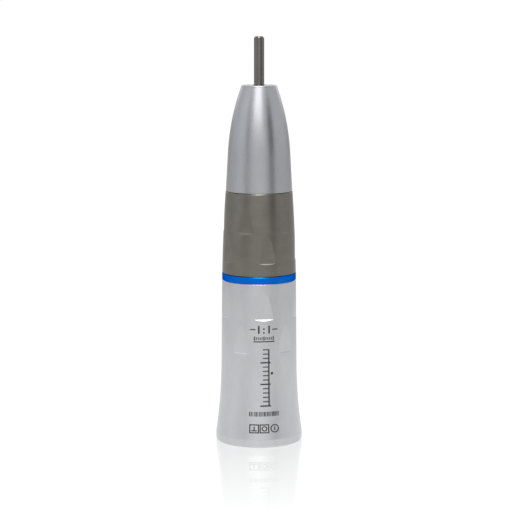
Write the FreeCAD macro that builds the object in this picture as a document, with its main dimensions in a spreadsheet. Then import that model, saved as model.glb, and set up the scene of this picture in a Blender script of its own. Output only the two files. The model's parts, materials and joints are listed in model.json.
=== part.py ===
# Straight nose-cone handpiece, 1:1, with a collet chuck worked by a locking ring.
#
# Units are millimetres and degrees. The handpiece stands on its rear rim: the origin is the
# centre of that rim, +Z runs along the axis to the nose, and -Y is the front of the grip.
# Names in the sheet "dims" are the sizes that a designer sets. The sheet "plan" works the
# places of the pieces out from them. Round sizes are radii.

import FreeCAD, Part
import math
import os
import Sketcher

Vector = FreeCAD.Vector

DIMS = [
    # casing
    ("sheath_length", "37.6"),
    ("colour_ring_width", "1.6"),
    ("ring_length", "18.9"),
    ("nose_length", "24.2"),
    ("nose_rear_radius", "7.62"),
    ("nose_straight", "8.7"),
    ("nose_mid_radius", "7.15"),
    ("tip_radius", "4.1"),
    ("tip_round", "0.4"),
    ("ring_front_radius", "7.7"),
    ("ring_rear_radius", "8.5"),
    ("ring_crown_radius", "450"),
    ("ring_crown_height", "0.1"),
    ("colour_ring_radius", "8.54"),
    ("sheath_front_radius", "8.54"),
    ("waist_radius", "8.74"),
    ("flare_length", "17.5"),
    ("rim_radius", "10"),
    ("rim_height", "1.8"),
    ("rim_round", "0.5"),
    ("edge_break", "0.09"),
    ("ring_end_gap", "0.08"),
    # clearances
    ("fit_gap", "0.02"),
    ("run_gap", "0.05"),
    ("shank_gap", "0.01"),
    # finger dimples
    ("dimple_depth", "0.27"),
    ("dimple_length", "6.3"),
    ("dimple_ledge", "0.3"),
    ("dimple_count", "5"),
    ("dimple_reach", "4"),
    ("ring_upper_row", "10"),
    ("ring_lower_row", "3.1"),
    ("sheath_upper_row", "8.1"),
    ("sheath_lower_row", "15.9"),
    ("ring_upper_turn", "-112.7"),
    ("ring_lower_turn", "-76.7"),
    ("sheath_upper_turn", "-82.1"),
    ("sheath_lower_turn", "-117.8"),
    # shank, collet and spindle
    ("shank_radius", "1.175"),
    ("shank_length", "44.5"),
    ("shank_chamfer", "0.35"),
    ("collet_wall", "0.565"),
    ("collet_head_length", "2.4"),
    ("collet_head_rise", "0.35"),
    ("collet_travel", "1"),
    ("collet_slit", "0.3"),
    ("collet_slit_length", "12.3"),
    ("collet_jaws", "3"),
    ("lip_thickness", "0.8"),
    ("lip_radius", "1.45"),
    ("lip_gap", "0.2"),
    ("spindle_lead", "0.2"),
    ("spindle_radius", "3.5"),
    ("spindle_wall", "0.6"),
    ("spring_wall", "3.4"),
    ("snout_gap", "0.35"),
    # ball bearings
    ("bearing_bore", "2.5"),
    ("bearing_outer", "4.5"),
    ("bearing_width", "3"),
    ("ball_radius", "0.7"),
    ("ball_count", "9"),
    ("race_gap", "0.04"),
    ("land_depth", "0.4"),
    ("cage_thickness", "0.62"),
    ("cage_width", "2"),
    ("bearing_spacer", "0.8"),
    ("seal_setback", "5.9"),
    ("seal_width", "1.2"),
    ("seal_seat", "3.9"),
    ("front_nut_width", "1.8"),
    ("front_nut_room", "0.25"),
    ("nut_notch", "1"),
    ("nut_notch_depth", "0.7"),
    ("rear_bearing_setback", "1.2"),
    ("rear_nut_width", "1.8"),
    ("spindle_nut_radius", "3.6"),
    ("spindle_nut_width", "2"),
    ("preload_space", "0.6"),
    ("preload_thickness", "0.25"),
    ("preload_rise", "0.3"),
    # spindle housing
    ("housing_wall", "1"),
    ("spigot_rise", "0.6"),
    ("tail_wall", "0.95"),
    ("flange_rise", "1.2"),
    ("housing_tail_length", "7.5"),
    ("nose_thread_length", "6.3"),
    ("shoulder_gap", "0.2"),
    ("seat_margin", "1"),
    # seals
    ("ring_seal_section", "0.35"),
    ("nose_seal_section", "0.3"),
    ("sheath_seal_section", "0.4"),
    ("ring_seal_rear_setback", "1.8"),
    ("ring_seal_front_setback", "1.6"),
    ("nose_seal_setback", "2.2"),
    ("sheath_seal_setback", "3.5"),
    # chuck opening mechanism
    ("ring_turn_angle", "50"),
    ("cam_sleeve_wall", "0.89"),
    ("cam_pin_radius", "0.7"),
    ("cam_pin_gap", "0.06"),
    ("cam_pin_setback", "3.6"),
    ("cam_pin_count", "2"),
    ("cam_slot_overrun", "8"),
    ("push_sleeve_room", "0.2"),
    ("push_sleeve_back", "2.55"),
    ("push_sleeve_front", "2.45"),
    ("idle_gap", "0.35"),
    ("contact_gap", "0.02"),
    ("collar_wall", "0.95"),
    ("collar_room", "0.5"),
    ("collar_half_width", "1.7"),
    ("cross_pin_radius", "0.45"),
    ("nut_web", "1"),
    ("nut_tail", "0.65"),
    ("nut_thread", "3.4"),
    ("tail_lead", "0.8"),
    ("pin_rest_gap", "0.05"),
    ("shank_seat_radius", "1.3"),
    ("chuck_wire", "0.28"),
    ("chuck_turns", "8"),
    # drive end
    ("shaft_radius", "1.5"),
    ("shaft_flange_width", "3"),
    ("shaft_plug_length", "3.9"),
    ("shaft_chamfer", "0.2"),
    ("shaft_step_lead", "0.1"),
    ("dog_setback", "14.4"),
    ("dog_length", "10.6"),
    ("dog_radius", "2.4"),
    ("dog_bore_depth", "6.1"),
    ("dog_travel", "1.5"),
    ("dog_tongue_thickness", "1.8"),
    ("dog_tongue_length", "2"),
    ("dog_pin_radius", "0.4"),
    ("dog_pin_setback", "2"),
    ("dog_wire", "0.2"),
    ("dog_turns", "7"),
    # motor coupling
    ("coupling_radius", "5.05"),
    ("coupling_depth", "22.5"),
    ("coupling_chamfer", "0.4"),
    ("coupling_inset", "0.4"),
    ("coupling_flange", "8.4"),
    ("coupling_flange_width", "2"),
    ("coupling_throat", "4.2"),
    ("tail_gap", "0.7"),
    ("latch_groove_place", "12.4"),
    ("latch_groove_width", "1.5"),
    ("latch_groove_depth", "0.5"),
    ("spanner_hole_radius", "0.6"),
    ("spanner_hole_depth", "1"),
    ("spanner_hole_circle", "6.7"),
    ("spanner_hole_count", "4"),
]

PLAN = [
    # joint planes of the casing
    ("z_sheath", "=dims.sheath_length"),
    ("z_ring", "=z_sheath + dims.colour_ring_width"),
    ("z_nose", "=z_ring + dims.ring_length"),
    ("z_tip", "=z_nose + dims.nose_length"),
    # front of the spindle, from the tip backwards
    ("z_lip", "=z_tip - dims.lip_thickness"),
    ("z_collet", "=z_lip - dims.lip_gap - dims.collet_travel"),
    ("z_spindle", "=z_collet + dims.spindle_lead"),
    ("z_head", "=z_collet - dims.collet_head_length"),
    ("z_seal", "=z_tip - dims.seal_setback"),
    ("z_bearing_front", "=z_seal - dims.seal_width"),
    ("z_spacer", "=z_bearing_front - dims.bearing_width"),
    ("z_bearing_middle", "=z_spacer - dims.bearing_spacer"),
    ("z_shoulder", "=z_bearing_middle - dims.bearing_width"),
    ("z_front_nut", "=z_shoulder - dims.front_nut_width"),
    ("z_spring_seat", "=z_shoulder - dims.spring_wall"),
    ("z_socket", "=z_nose + dims.nose_thread_length"),
    # chuck opening mechanism, from the ring's rear edge forwards
    ("z_cam_pin", "=z_ring + dims.cam_pin_setback"),
    ("z_push_back", "=z_cam_pin - dims.push_sleeve_back"),
    ("z_push_front", "=z_cam_pin + dims.push_sleeve_front"),
    ("z_collar", "=z_push_front + dims.idle_gap"),
    ("z_cross_pin", "=z_collar + dims.collar_half_width"),
    ("z_floor", "=z_cross_pin + dims.cross_pin_radius + dims.nut_web"),
    ("z_draw_nut", "=z_cross_pin - dims.cross_pin_radius - dims.nut_tail"),
    ("z_tail", "=z_floor + dims.tail_lead"),
    ("z_nut_front", "=z_tail + dims.nut_thread"),
    ("z_shank", "=z_floor + dims.pin_rest_gap"),
    ("push_travel", "=dims.collet_travel + dims.idle_gap - dims.contact_gap"),
    # rear bearing and drive end
    ("z_bearing_rear", "=z_ring - dims.rear_bearing_setback"),
    ("z_preload", "=z_bearing_rear - dims.bearing_width"),
    ("z_rear_nut", "=z_preload - dims.preload_space"),
    ("z_seat_end", "=z_rear_nut - dims.rear_nut_width - dims.seat_margin"),
    ("z_housing", "=z_seat_end - dims.housing_tail_length"),
    ("z_tail_end", "=z_seat_end - dims.tail_gap"),
    ("z_plug", "=z_bearing_rear + dims.shaft_flange_width"),
    ("z_plug_end", "=z_plug + dims.shaft_plug_length"),
    ("z_shaft_step", "=z_tail_end + dims.shaft_step_lead"),
    ("z_dog_front", "=dims.dog_setback + dims.dog_length"),
    ("z_dog_pin", "=z_dog_front - dims.dog_pin_setback"),
    ("z_dog_floor", "=z_dog_front - dims.dog_bore_depth"),
    ("z_shaft_end", "=z_dog_floor + dims.dog_travel + dims.shaft_chamfer"),
    # radii that follow their mates
    ("collet_bore", "=dims.shank_radius + dims.shank_gap"),
    ("collet_radius", "=collet_bore + dims.collet_wall"),
    ("head_radius", "=collet_radius + dims.collet_head_rise"),
    ("collet_hole", "=collet_radius + dims.run_gap"),
    ("head_hole", "=head_radius + dims.run_gap"),
    ("journal_radius", "=dims.bearing_bore - dims.fit_gap"),
    ("bearing_seat", "=dims.bearing_outer + dims.fit_gap"),
    ("nut_radius", "=dims.bearing_outer - dims.fit_gap"),
    ("snout_bore", "=journal_radius + dims.snout_gap"),
    ("ball_circle", "=(dims.bearing_bore + dims.bearing_outer) / 2"),
    ("race_radius", "=dims.ball_radius + dims.race_gap"),
    ("race_half", "=sqrt(race_radius ^ 2 - dims.land_depth ^ 2)"),
    ("inner_land", "=ball_circle - dims.land_depth"),
    ("outer_land", "=ball_circle + dims.land_depth"),
    # radii of the chuck opening mechanism, from the spindle outwards
    ("spring_cavity", "=dims.spindle_radius - dims.spindle_wall"),
    ("draw_nut_radius", "=spring_cavity - dims.run_gap"),
    ("plug_radius", "=spring_cavity - dims.fit_gap"),
    ("front_nut_bore", "=dims.spindle_radius + dims.front_nut_room"),
    ("push_sleeve_bore", "=dims.spindle_radius + dims.push_sleeve_room"),
    ("collar_bore", "=dims.spindle_radius + dims.run_gap"),
    ("collar_radius", "=collar_bore + dims.collar_wall"),
    ("housing_bore", "=collar_radius + dims.collar_room"),
    ("push_sleeve_radius", "=housing_bore - dims.run_gap"),
    ("housing_radius", "=housing_bore + dims.housing_wall"),
    ("housing_spigot", "=housing_radius + dims.spigot_rise"),
    ("housing_tail_bore", "=housing_spigot - dims.tail_wall"),
    ("housing_flange", "=housing_radius + dims.flange_rise"),
    ("nose_socket", "=housing_radius + dims.fit_gap"),
    ("cam_sleeve_bore", "=housing_radius + dims.run_gap"),
    ("cam_sleeve_radius", "=cam_sleeve_bore + dims.cam_sleeve_wall"),
    ("ring_bore", "=cam_sleeve_radius + dims.fit_gap"),
    ("sheath_bore", "=housing_spigot + dims.fit_gap"),
    ("flange_seat", "=dims.coupling_flange + dims.run_gap"),
    ("flange_recess", "=dims.coupling_inset + dims.coupling_flange_width + dims.fit_gap"),
    ("groove_top", "=dims.latch_groove_place + dims.latch_groove_width"),
    ("groove_radius", "=dims.coupling_radius + dims.latch_groove_depth"),
    ("coupling_tail", "=housing_tail_bore - dims.fit_gap"),
    ("chuck_coil_radius", "=(collet_radius + spring_cavity) / 2"),
    ("dog_coil_radius", "=(dims.shaft_radius + dims.dog_radius) / 2"),
    ("dog_bore", "=dims.shaft_radius + dims.run_gap"),
    # cam slot: one turn of its helix would climb cam_pitch
    ("cam_pitch", "=push_travel * 360 / dims.ring_turn_angle"),
    ("cam_sweep", "=dims.ring_turn_angle + 2 * dims.cam_slot_overrun"),
    ("cam_start", "=z_cam_pin - push_travel * dims.cam_slot_overrun / dims.ring_turn_angle"),
    ("cam_lean", "=atan(cam_pitch / (360 * cam_sleeve_bore) * 180 / pi)"),
    ("cam_half", "=(dims.cam_pin_radius + dims.cam_pin_gap) / cos(cam_lean)"),
]

AXIS = "0"
BLEND_START = "tangent to the segment before"
BLEND_END = "tangent to the segment after"


def put_sheet(doc, name, rows):
    sheet = doc.addObject("Spreadsheet::Sheet", name)
    for row, (alias, text) in enumerate(rows, start=1):
        sheet.set(f"A{row}", alias.replace("_", " "))
        sheet.set(f"B{row}", text)
        sheet.setAlias(f"B{row}", alias)
    doc.recompute()
    return sheet


def value(doc, expression):
    return float(doc.getObject("plan").evalExpression(expression))


def origin_part(body, role):
    return next(o for o in body.Origin.OriginFeatures if o.Role == role)


def new_body(doc, label):
    body = doc.addObject("PartDesign::Body", label)
    body.Label = label
    return body


def new_sketch(body, name, plane="XZ_Plane", turn=None):
    """A sketch on one of the body's origin planes, turned about the Z axis by the expression turn."""
    sketch = body.newObject("Sketcher::SketchObject", name)
    sketch.AttachmentSupport = (origin_part(body, plane), [""])
    sketch.MapMode = "FlatFace"
    if turn:
        sketch.AttachmentOffset = FreeCAD.Placement(Vector(), FreeCAD.Rotation(Vector(0, 1, 0), 1))
        sketch.setExpression("AttachmentOffset.Rotation.Angle", turn)
    return sketch


def bind(sketch, kind, places, expression, name):
    """A driving constraint on the sketch, held to an expression."""
    size = value(sketch.Document, expression)
    index = sketch.addConstraint(Sketcher.Constraint(kind, *places, size))
    sketch.renameConstraint(index, name)
    sketch.setExpression(f"Constraints.{name}", expression)


def first_arc(start, end, tangent=None, radius=None):
    """An arc from start to end, and whether it runs anticlockwise. A positive radius has its
    centre left of the way from start to end; with a tangent the arc leaves start along it."""
    chord = end - start
    left = Vector(-chord.y, chord.x, 0) / chord.Length
    if tangent is not None:
        normal = Vector(-tangent.y, tangent.x, 0) / tangent.Length
        radius = chord.Length**2 / (2 * normal.dot(chord))
        centre = start + normal * radius
    else:
        rise = math.sqrt(max(radius**2 - chord.Length**2 / 4, 0))
        centre = (start + end) / 2 + left * math.copysign(rise, radius)
    anticlockwise = radius > 0
    first, last = (start, end) if anticlockwise else (end, start)
    angles = [math.atan2(p.y - centre.y, p.x - centre.x) for p in (first, last)]
    circle = Part.Circle(centre, Vector(0, 0, 1), abs(radius))
    return Part.ArcOfCircle(circle, *angles), anticlockwise


def draw_outline(sketch, points, arcs=None):
    """Closes a sketch through points, each a pair of expressions. arcs maps the number of a
    segment to BLEND_START, BLEND_END, or (expression of the radius, side of the centre)."""
    doc = sketch.Document
    arcs = arcs or {}
    count = len(points)
    spots = [Vector(value(doc, x), value(doc, y), 0) for x, y in points]
    ends = []
    for i in range(count):
        start, end = spots[i], spots[(i + 1) % count]
        rule = arcs.get(i)
        if rule is None:
            sketch.addGeometry(Part.LineSegment(start, end), False)
            ends.append((1, 2))
            continue
        if rule == BLEND_START:
            arc, forward = first_arc(start, end, tangent=start - spots[i - 1])
        elif rule == BLEND_END:
            arc, forward = first_arc(end, start, tangent=end - spots[(i + 2) % count])
            forward = not forward
        else:
            arc, forward = first_arc(start, end, radius=value(doc, rule[0]) * rule[1])
        sketch.addGeometry(arc, False)
        ends.append((1, 2) if forward else (2, 1))
    for i in range(count):
        after = (i + 1) % count
        joint = (i, ends[i][1], after, ends[after][0])
        smooth = arcs.get(i) == BLEND_END or arcs.get(after) == BLEND_START
        sketch.addConstraint(Sketcher.Constraint("Tangent" if smooth else "Coincident", *joint))
    for i, (x, y) in enumerate(points):
        spot = (i, ends[i][0])
        if x == AXIS:
            sketch.addConstraint(Sketcher.Constraint("PointOnObject", *spot, -2))
        else:
            bind(sketch, "DistanceX", spot, x, f"across{i}")
        if y == AXIS:
            sketch.addConstraint(Sketcher.Constraint("PointOnObject", *spot, -1))
        else:
            bind(sketch, "DistanceY", spot, y, f"along{i}")
    for i, rule in arcs.items():
        if rule not in (BLEND_START, BLEND_END):
            bind(sketch, "Radius", (i,), rule[0], f"bend{i}")


def draw_slot(sketch, low, high, half_width):
    """An upright round-ended slot centred on the sketch's vertical axis. low and high are the
    centres of its ends, and half_width is the radius of the ends."""
    doc = sketch.Document
    bottom, top, half = (value(doc, e) for e in (low, high, half_width))
    side = Vector(half, 0, 0)
    turn = Vector(0, 0, 1)
    sketch.addGeometry(Part.LineSegment(Vector(0, bottom, 0) + side, Vector(0, top, 0) + side), False)
    upper = Part.Circle(Vector(0, top, 0), turn, half)
    sketch.addGeometry(Part.ArcOfCircle(upper, 0, math.pi), False)
    sketch.addGeometry(Part.LineSegment(Vector(0, top, 0) - side, Vector(0, bottom, 0) - side), False)
    lower = Part.Circle(Vector(0, bottom, 0), turn, half)
    sketch.addGeometry(Part.ArcOfCircle(lower, math.pi, 2 * math.pi), False)
    for i in range(4):
        sketch.addConstraint(Sketcher.Constraint("Tangent", i, 2, (i + 1) % 4, 1))
    for arc in (1, 3):
        sketch.addConstraint(Sketcher.Constraint("PointOnObject", arc, 3, -2))
    bind(sketch, "DistanceY", (1, 3), high, "high")
    bind(sketch, "DistanceY", (3, 3), low, "low")
    bind(sketch, "Radius", (1,), half_width, "half_width")


def draw_circle(sketch, across, along, radius):
    doc = sketch.Document
    centre = Vector(value(doc, across), value(doc, along), 0)
    sketch.addGeometry(Part.Circle(centre, Vector(0, 0, 1), value(doc, radius)), False)
    if across == AXIS:
        sketch.addConstraint(Sketcher.Constraint("PointOnObject", 0, 3, -2))
    else:
        bind(sketch, "DistanceX", (0, 3), across, "across")
    bind(sketch, "DistanceY", (0, 3), along, "along")
    bind(sketch, "Radius", (0,), radius, "radius")


def turned(doc, label, points, arcs=None):
    """A body made on a lathe: the outline of its section, turned about the Z axis."""
    body = new_body(doc, label)
    sketch = new_sketch(body, f"{label}_section")
    draw_outline(sketch, points, arcs)
    turning = body.newObject("PartDesign::Revolution", f"{label}_turning")
    turning.Profile = sketch
    turning.ReferenceAxis = (sketch, ["V_Axis"])
    turning.Angle = 360
    return body


def plain_ring(doc, label, inner, outer, bottom, top):
    return turned(doc, label, [(inner, bottom), (outer, bottom), (outer, top), (inner, top)])


def cut_through(body, sketch, width=None):
    """A pocket both ways from the sketch's plane: through the body, or width wide in all."""
    pocket = body.newObject("PartDesign::Pocket", f"{sketch.Name}_cut")
    pocket.Profile = sketch
    pocket.SideType = "Symmetric"
    if width is None:
        pocket.Type = "ThroughAll"
    else:
        pocket.setExpression("Length", width)
    return pocket


def cut_across(body, name, along, radius, plane):
    """A round hole across the axis, right through the body."""
    sketch = new_sketch(body, name, plane)
    draw_circle(sketch, AXIS, along, radius)
    return cut_through(body, sketch)


def repeat_round(body, feature, count):
    pattern = body.newObject("PartDesign::PolarPattern", f"{feature.Name}_round")
    pattern.Originals = [feature]
    pattern.Axis = (origin_part(body, "Z_Axis"), [""])
    pattern.Angle = 360
    pattern.setExpression("Occurrences", count)
    body.Tip = pattern
    return pattern


def cut_dimples(body, name, ledge, surface, turn):
    """A row of finger dimples: flat facets that start on the surface and end at a sloped ledge.
    ledge is the height of the ledges, and surface(z) the expression of the radius at z."""
    apex = f"({ledge} + dims.dimple_length)"
    clear = "dims.dimple_depth * 2"
    sketch = new_sketch(body, name, turn=turn)
    draw_outline(
        sketch,
        [
            (f"{surface(ledge)} - dims.dimple_depth", ledge),
            (f"{surface(ledge)} + {clear}", f"{ledge} - dims.dimple_ledge * 3"),
            (f"{surface(apex)} + {clear}", apex),
            (surface(apex), apex),
        ],
    )
    row = cut_through(body, sketch, "2 * dims.dimple_reach")
    return repeat_round(body, row, "dims.dimple_count")


def straight_radius(bottom, top, rear, front):
    """The radius at z of a cone that is rear wide at bottom and front wide at top."""
    return lambda z: f"({rear} + ({front} - {rear}) * ({z} - {bottom}) / ({top} - {bottom}))"


# ---------------------------------------------------------------- casing


def make_nose_cone(doc):
    return turned(
        doc,
        "nose_cone",
        [
            ("plan.nose_socket", "plan.z_nose"),
            ("dims.nose_rear_radius - dims.edge_break", "plan.z_nose"),
            ("dims.nose_rear_radius", "plan.z_nose + dims.edge_break"),
            ("dims.nose_mid_radius", "plan.z_nose + dims.nose_straight"),
            ("dims.tip_radius", "plan.z_tip - dims.tip_round"),
            ("dims.tip_radius - dims.tip_round", "plan.z_tip"),
            ("dims.lip_radius", "plan.z_tip"),
            ("dims.lip_radius", "plan.z_lip"),
            ("plan.snout_bore", "plan.z_lip"),
            ("plan.snout_bore", "plan.z_seal"),
            ("dims.seal_seat", "plan.z_seal"),
            ("dims.seal_seat", "plan.z_bearing_front"),
            ("plan.bearing_seat", "plan.z_bearing_front"),
            ("plan.bearing_seat", "plan.z_socket"),
            ("plan.nose_socket", "plan.z_socket"),
        ],
        {3: BLEND_START, 4: ("dims.tip_round", 1)},
    )


def make_locking_ring(doc):
    rear = "(plan.z_ring + dims.ring_end_gap)"
    front = "(plan.z_nose - dims.ring_end_gap)"
    body = turned(
        doc,
        "locking_ring",
        [
            ("plan.ring_bore", rear),
            ("dims.ring_rear_radius - dims.edge_break", rear),
            ("dims.ring_rear_radius", f"{rear} + dims.edge_break"),
            ("dims.ring_front_radius", f"{front} - dims.edge_break"),
            ("dims.ring_front_radius - dims.edge_break", front),
            ("plan.ring_bore", front),
        ],
        {2: ("dims.ring_crown_radius", 1)},
    )
    cone = straight_radius(rear, front, "dims.ring_rear_radius", "dims.ring_front_radius")

    def surface(z):
        return f"({cone(z)} + dims.ring_crown_height)"

    upper = "(plan.z_ring + dims.ring_upper_row)"
    lower = "(plan.z_ring + dims.ring_lower_row)"
    cut_dimples(body, "ring_upper_dimples", upper, surface, "dims.ring_upper_turn")
    cut_dimples(body, "ring_lower_dimples", lower, surface, "dims.ring_lower_turn")
    return body


def make_colour_ring(doc):
    inner = "plan.housing_flange + dims.fit_gap"
    rear = "plan.z_sheath + dims.fit_gap"
    front = "plan.z_ring - dims.fit_gap"
    return turned(
        doc,
        "colour_ring",
        [
            (inner, rear),
            ("dims.colour_ring_radius - dims.edge_break", rear),
            ("dims.colour_ring_radius", f"{rear} + dims.edge_break"),
            ("dims.colour_ring_radius", f"{front} - dims.edge_break"),
            ("dims.colour_ring_radius - dims.edge_break", front),
            (inner, front),
        ],
    )


def make_rear_sheath(doc):
    body = turned(
        doc,
        "rear_sheath",
        [
            ("dims.rim_radius - dims.rim_round", AXIS),
            ("dims.rim_radius", "dims.rim_round"),
            ("dims.rim_radius", "dims.rim_height"),
            ("dims.waist_radius", "dims.flare_length"),
            ("dims.sheath_front_radius", "plan.z_sheath - dims.edge_break"),
            ("dims.sheath_front_radius - dims.edge_break", "plan.z_sheath"),
            ("plan.sheath_bore", "plan.z_sheath"),
            ("plan.sheath_bore", "plan.flange_recess"),
            ("plan.flange_seat", "plan.flange_recess"),
            ("plan.flange_seat", AXIS),
        ],
        {0: ("dims.rim_round", 1), 2: BLEND_END},
    )
    surface = straight_radius(
        "dims.flare_length", "plan.z_sheath", "dims.waist_radius", "dims.sheath_front_radius"
    )
    upper = "(plan.z_sheath - dims.sheath_upper_row)"
    lower = "(plan.z_sheath - dims.sheath_lower_row)"
    cut_dimples(body, "sheath_upper_dimples", upper, surface, "dims.sheath_upper_turn")
    cut_dimples(body, "sheath_lower_dimples", lower, surface, "dims.sheath_lower_turn")
    return body


def seal_groove(place, surface, section):
    """The four corners of a groove for an O-ring in an outside surface, from the rear."""
    bottom = f"{surface} - 2 * {section} + dims.fit_gap"
    rear = f"{place} - {section} - dims.fit_gap"
    front = f"{place} + {section} + dims.fit_gap"
    return [(surface, rear), (bottom, rear), (bottom, front), (surface, front)]


SEALS = {
    # name: place, the surface that it lies in, its section
    "sheath_o_ring": (
        "plan.z_sheath - dims.sheath_seal_setback", "plan.housing_spigot", "dims.sheath_seal_section"
    ),
    "ring_seal_rear": (
        "plan.z_ring + dims.ring_seal_rear_setback", "plan.housing_radius", "dims.ring_seal_section"
    ),
    "ring_seal_front": (
        "plan.z_nose - dims.ring_seal_front_setback", "plan.housing_radius", "dims.ring_seal_section"
    ),
    "nose_o_ring": (
        "plan.z_nose + dims.nose_seal_setback", "plan.housing_radius", "dims.nose_seal_section"
    ),
}


def make_spindle_housing(doc):
    body = turned(
        doc,
        "spindle_housing",
        [
            ("plan.housing_tail_bore", "plan.z_housing"),
            ("plan.housing_spigot", "plan.z_housing"),
            *seal_groove(*SEALS["sheath_o_ring"]),
            ("plan.housing_spigot", "plan.z_sheath + dims.fit_gap"),
            ("plan.housing_flange", "plan.z_sheath + dims.fit_gap"),
            ("plan.housing_flange", "plan.z_ring"),
            ("plan.housing_radius", "plan.z_ring"),
            *seal_groove(*SEALS["ring_seal_rear"]),
            *seal_groove(*SEALS["ring_seal_front"]),
            *seal_groove(*SEALS["nose_o_ring"]),
            ("plan.housing_radius", "plan.z_socket - dims.shoulder_gap"),
            ("plan.housing_bore", "plan.z_socket - dims.shoulder_gap"),
            ("plan.housing_bore", "plan.z_ring"),
            ("plan.bearing_seat", "plan.z_ring"),
            ("plan.bearing_seat", "plan.z_seat_end"),
            ("plan.housing_tail_bore", "plan.z_seat_end"),
        ],
    )
    sketch = new_sketch(body, "cam_pin_slots", "YZ_Plane")
    draw_slot(
        sketch,
        "plan.z_cam_pin - dims.run_gap",
        "plan.z_cam_pin + plan.push_travel + dims.run_gap",
        "dims.cam_pin_radius + dims.run_gap",
    )
    cut_through(body, sketch)
    return body


def make_seals(doc):
    rings = []
    for label, (place, surface, section) in SEALS.items():
        ring = doc.addObject("Part::Torus", label)
        ring.Label = label
        ring.setExpression("Radius1", f"{surface} - {section} + dims.fit_gap")
        ring.setExpression("Radius2", f"{section} - dims.fit_gap / 2")
        ring.setExpression("Placement.Base.z", place)
        rings.append(ring)
    return rings


# ---------------------------------------------------------------- bearings


def ball_solids(doc, name, middle, radius):
    """The balls of one bearing as separate spheres, evenly round the ball circle."""
    count = round(value(doc, "dims.ball_count"))
    balls = []
    for i in range(count):
        ball = doc.addObject("Part::Sphere", f"{name}_{i + 1}")
        turn = f"{i} * 360 / dims.ball_count"
        ball.setExpression("Radius", radius)
        ball.setExpression("Placement.Base.x", f"plan.ball_circle * cos({turn})")
        ball.setExpression("Placement.Base.y", f"plan.ball_circle * sin({turn})")
        ball.setExpression("Placement.Base.z", middle)
        balls.append(ball)
    group = doc.addObject("Part::Compound", name)
    group.Label = name
    group.Links = balls
    return group


def make_cage(doc, label, middle):
    """A ring with a round window for each ball."""
    half = "dims.cage_width / 2"
    body = plain_ring(
        doc,
        label,
        "plan.ball_circle - dims.cage_thickness / 2",
        "plan.ball_circle + dims.cage_thickness / 2",
        f"{middle} - {half}",
        f"{middle} + {half}",
    )
    sketch = new_sketch(body, f"{label}_window", "YZ_Plane")
    draw_circle(sketch, AXIS, middle, "plan.race_radius")
    window = body.newObject("PartDesign::Pocket", f"{label}_window_cut")
    window.Profile = sketch
    window.Type = "ThroughAll"
    window.Reversed = True
    repeat_round(body, window, "dims.ball_count")
    return body


def make_bearing(doc, name, top):
    """A deep-groove ball bearing whose front face is at top: two races, the balls and a cage."""
    bottom = f"{top} - dims.bearing_width"
    middle = f"({top} - dims.bearing_width / 2)"
    low, high = f"{middle} - plan.race_half", f"{middle} + plan.race_half"
    outer = turned(
        doc,
        f"{name}_outer_race",
        [
            ("plan.outer_land", bottom),
            ("dims.bearing_outer", bottom),
            ("dims.bearing_outer", top),
            ("plan.outer_land", top),
            ("plan.outer_land", high),
            ("plan.outer_land", low),
        ],
        {4: ("plan.race_radius", -1)},
    )
    inner = turned(
        doc,
        f"{name}_inner_race",
        [
            ("dims.bearing_bore", bottom),
            ("plan.inner_land", bottom),
            ("plan.inner_land", low),
            ("plan.inner_land", high),
            ("plan.inner_land", top),
            ("dims.bearing_bore", top),
        ],
        {2: ("plan.race_radius", -1)},
    )
    balls = ball_solids(doc, f"{name}_balls", middle, "dims.ball_radius")
    cage = make_cage(doc, f"{name}_cage", middle)
    return [outer, inner, balls, cage]


def make_notched_nut(doc, label, inner, outer, bottom, top):
    """A round nut with four notches in its rear face for a pin spanner."""
    body = plain_ring(doc, label, inner, outer, bottom, top)
    sketch = new_sketch(body, f"{label}_notch")
    depth = f"{bottom} + dims.nut_notch_depth"
    beyond = f"{outer} + dims.nut_notch"
    draw_outline(sketch, [(AXIS, bottom), (beyond, bottom), (beyond, depth), (AXIS, depth)])
    repeat_round(body, cut_through(body, sketch, "dims.nut_notch"), "dims.spanner_hole_count")
    return body


def make_bearing_fittings(doc):
    """What holds the bearings: the seal, spacers, nuts and the preload spring."""
    seal = plain_ring(
        doc,
        "front_seal",
        "plan.journal_radius + dims.run_gap",
        "dims.seal_seat - dims.fit_gap",
        "plan.z_bearing_front + dims.fit_gap",
        "plan.z_seal - dims.fit_gap",
    )
    spacer_ends = ("plan.z_bearing_middle + dims.fit_gap", "plan.z_spacer - dims.fit_gap")
    outer_spacer = plain_ring(
        doc, "bearing_outer_spacer", "plan.outer_land", "plan.nut_radius", *spacer_ends
    )
    inner_spacer = plain_ring(
        doc, "bearing_inner_spacer", "dims.bearing_bore", "plan.inner_land", *spacer_ends
    )
    front_nut = make_notched_nut(
        doc,
        "front_bearing_nut",
        "plan.front_nut_bore",
        "plan.nut_radius",
        "plan.z_front_nut",
        "plan.z_shoulder - dims.fit_gap",
    )
    rear_nut = make_notched_nut(
        doc,
        "rear_bearing_nut",
        "plan.outer_land",
        "plan.nut_radius",
        "plan.z_rear_nut - dims.rear_nut_width",
        "plan.z_rear_nut",
    )
    spindle_nut = make_notched_nut(
        doc,
        "spindle_nut",
        "dims.bearing_bore",
        "dims.spindle_nut_radius",
        "plan.z_preload - dims.spindle_nut_width",
        "plan.z_preload - dims.fit_gap",
    )
    low = "(plan.z_rear_nut + dims.fit_gap)"
    preload = turned(
        doc,
        "preload_disc_spring",
        [
            ("plan.outer_land", low),
            ("plan.nut_radius", f"{low} + dims.preload_rise"),
            ("plan.nut_radius", f"{low} + dims.preload_rise + dims.preload_thickness"),
            ("plan.outer_land", f"{low} + dims.preload_thickness"),
        ],
    )
    return [seal, outer_spacer, inner_spacer, front_nut, rear_nut, spindle_nut, preload]


# ---------------------------------------------------------------- spindle and collet


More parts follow.
